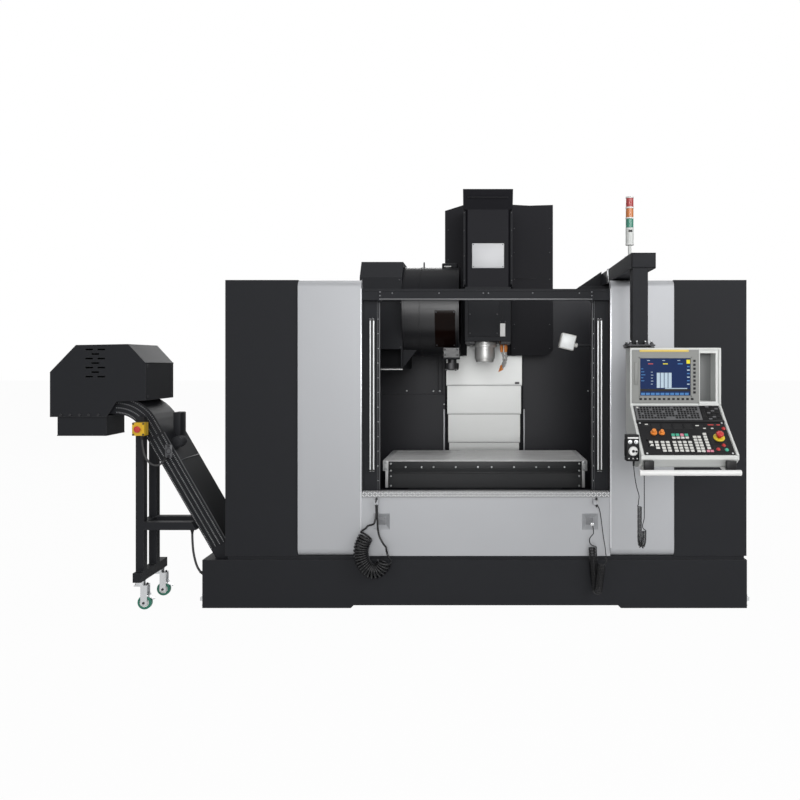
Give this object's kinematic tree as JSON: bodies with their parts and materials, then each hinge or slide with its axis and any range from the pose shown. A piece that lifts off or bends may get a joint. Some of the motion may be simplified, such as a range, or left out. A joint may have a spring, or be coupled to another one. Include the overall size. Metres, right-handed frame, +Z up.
{
  "type": "cnc machining center",
  "caption": "Vertical machining centre with sliding doors, T-slot table, spindle head, tool magazine, swinging operator pendant and a chip conveyor at its left side.",
  "frame": {"origin": "on the floor under the middle of the machine's plan, conveyor and pendant included", "axes": "+X to the operator's right along the table, +Y towards the back, +Z up along the spindle"},
  "size_m": [4.495, 3.5344, 2.916],
  "materials": {
    "charcoal_paint": "satin powder coat",
    "silver_paint": "metallic lacquer",
    "cast_grey": "painted casting",
    "chequer": "rolled chequer plate",
    "pale_paint": "fine textured coat",
    "cover_steel": "light grey sheet",
    "steel": "ground and polished",
    "iron": "ground face",
    "black_plastic": "moulded",
    "grey_plastic": "moulded",
    "rubber": "matt",
    "glass": "clear",
    "smoked": "smoked",
    "orange_plastic": "moulded",
    "red_plastic": "moulded",
    "yellow_plastic": "moulded",
    "green_tyre": "cast"
  },
  "bodies": {
    "machine": {"base": "charcoal_paint", "side_cabinets": "charcoal_paint", "door_rails": "charcoal_paint", "inner_walls": "charcoal_paint", "column": "charcoal_paint", "magazine_hood": "charcoal_paint", "magazine_drive": "charcoal_paint", "arm_bracket": "charcoal_paint", "conveyor": "charcoal_paint", "conveyor_hood": "charcoal_paint", "conveyor_stand": "charcoal_paint", "electrical_cabinet": "charcoal_paint", "front_covers": "silver_paint", "front_apron": "silver_paint", "bed": "cast_grey", "tread_plate": "chequer", "z_cover_foot": "cover_steel", "levelling_jacks": "steel", "wash_hose": "rubber", "air_hose": "rubber", "conveyor_cables": "rubber", "magazine_window": "smoked", "stop_box": "yellow_plastic"},
    "left_door": {"left_door": "charcoal_paint", "left_door_pane": "glass", "left_door_handle": "steel"},
    "right_door": {"right_door": "charcoal_paint", "right_door_pane": "glass", "right_door_handle": "steel"},
    "saddle": {"saddle": "charcoal_paint"},
    "table": {"table": "iron", "table_skirt": "charcoal_paint"},
    "head": {"spindle_head": "charcoal_paint", "motor_cover": "charcoal_paint", "head_guard": "charcoal_paint", "coolant_nozzles": "orange_plastic", "z_cover_top": "cover_steel"},
    "z_cover_upper": {"z_cover_upper": "cover_steel"},
    "z_cover_lower": {"z_cover_lower": "cover_steel"},
    "spindle": {"spindle": "steel"},
    "magazine_disc": {"magazine_disc": "steel"},
    "change_arm": {"change_arm": "steel"},
    "pendant_arm": {"pendant_arm": "charcoal_paint", "stack_light": "pale_paint"},
    "pendant": {"pendant_case": "pale_paint", "screen": "grey_plastic", "control_panel": "black_plastic", "pendant_handle": "pale_paint", "hand_wheel": "black_plastic", "hand_wheel_cord": "rubber"},
    "emergency_stop": {"emergency_stop": "red_plastic"},
    "override_dial": {"override_dial": "orange_plastic"},
    "hand_wheel_dial": {"hand_wheel_dial": "steel"},
    "work_light": {"work_light": "pale_paint"},
    "front_caster": {"front_caster": "steel"},
    "front_wheel": {"front_wheel": "green_tyre"},
    "rear_caster": {"rear_caster": "steel"},
    "rear_wheel": {"rear_wheel": "green_tyre"},
    "stop_button": {"stop_button": "red_plastic"},
    "electrical_door": {"electrical_door": "charcoal_paint"}
  },
  "joints": [
    {"name": "left_door_slide", "type": "slide", "parent": "machine", "child": "left_door", "axis": [1, 0, 0], "range_m": [0, 0.684]},
    {"name": "right_door_slide", "type": "slide", "parent": "machine", "child": "right_door", "axis": [-1, 0, 0], "range_m": [0, 0.684]},
    {"name": "saddle_y", "type": "slide", "parent": "machine", "child": "saddle", "axis": [0, 1, 0], "range_m": [-0.325, 0.325]},
    {"name": "table_x", "type": "slide", "parent": "saddle", "child": "table", "axis": [1, 0, 0], "range_m": [-0.6, 0.6]},
    {"name": "head_z", "type": "slide", "parent": "machine", "child": "head", "axis": [0, 0, 1], "range_m": [-0.6, 0.05]},
    {"name": "z_cover_upper_slide", "type": "slide", "parent": "machine", "child": "z_cover_upper", "axis": [0, 0, 1], "range_m": [-0.401, 0.034]},
    {"name": "z_cover_lower_slide", "type": "slide", "parent": "machine", "child": "z_cover_lower", "axis": [0, 0, 1], "range_m": [-0.201, 0.017]},
    {"name": "spindle_spin", "type": "hinge", "parent": "head", "child": "spindle", "pos_m": [0.5425, 0.1178, 1.65], "axis": [0, 0, 1], "continuous": true},
    {"name": "magazine_turn", "type": "hinge", "parent": "machine", "child": "magazine_disc", "pos_m": [0.0425, 0.3328, 1.985], "axis": [1, 0, 0], "continuous": true},
    {"name": "change_arm_turn", "type": "hinge", "parent": "machine", "child": "change_arm", "pos_m": [0.2925, 0.1178, 1.56], "axis": [0, 0, 1], "range_deg": [0, 180]},
    {"name": "pendant_arm_swing", "type": "hinge", "parent": "machine", "child": "pendant_arm", "pos_m": [1.4395, -0.3572, 2.16], "axis": [0, 0, 1], "range_deg": [-40, 20]},
    {"name": "pendant_swivel", "type": "hinge", "parent": "pendant_arm", "child": "pendant", "pos_m": [1.4215, -1.3372, 1.7], "axis": [0, 0, 1], "range_deg": [-45, 25]},
    {"name": "emergency_stop_press", "type": "slide", "parent": "pendant", "child": "emergency_stop", "axis": [0, 0.6132, -0.7899], "range_m": [0, 0.005], "stiffness_N_per_m": 600},
    {"name": "override_turn", "type": "hinge", "parent": "pendant", "child": "override_dial", "pos_m": [1.4525, -1.5722, 1.19479], "axis": [0, -0.6132, 0.7899], "range_deg": [-135, 135]},
    {"name": "hand_wheel_turn", "type": "hinge", "parent": "pendant", "child": "hand_wheel_dial", "pos_m": [1.3255, -1.6272, 1.109], "axis": [0, -1, 0], "continuous": true},
    {"name": "work_light_tilt", "type": "hinge", "parent": "machine", "child": "work_light", "pos_m": [1.1505, -0.6822, 1.695], "axis": [1, 0, 0], "range_deg": [-40, 40]},
    {"name": "front_caster_swivel", "type": "hinge", "parent": "machine", "child": "front_caster", "pos_m": [-1.6745, -0.8372, 0.15], "axis": [0, 0, 1], "continuous": true},
    {"name": "front_wheel_roll", "type": "hinge", "parent": "front_caster", "child": "front_wheel", "pos_m": [-1.6465, -0.8372, 0.045], "axis": [0, 1, 0], "continuous": true},
    {"name": "rear_caster_swivel", "type": "hinge", "parent": "machine", "child": "rear_caster", "pos_m": [-1.6745, -0.5422, 0.15], "axis": [0, 0, 1], "continuous": true},
    {"name": "rear_wheel_roll", "type": "hinge", "parent": "rear_caster", "child": "rear_wheel", "pos_m": [-1.6465, -0.5422, 0.045], "axis": [0, 1, 0], "continuous": true},
    {"name": "stop_button_press", "type": "slide", "parent": "machine", "child": "stop_button", "axis": [0, 1, 0], "range_m": [0, 0.005], "stiffness_N_per_m": 600},
    {"name": "electrical_door_swing", "type": "hinge", "parent": "machine", "child": "electrical_door", "pos_m": [2.2025, 1.7432, 1.2], "axis": [0, 0, 1], "range_deg": [-110, 0]}
  ],
  "couplings": [
    {"joint": "z_cover_upper_slide", "follows": "head_z", "ratio": 0.66667},
    {"joint": "z_cover_lower_slide", "follows": "head_z", "ratio": 0.33333}
  ]
}
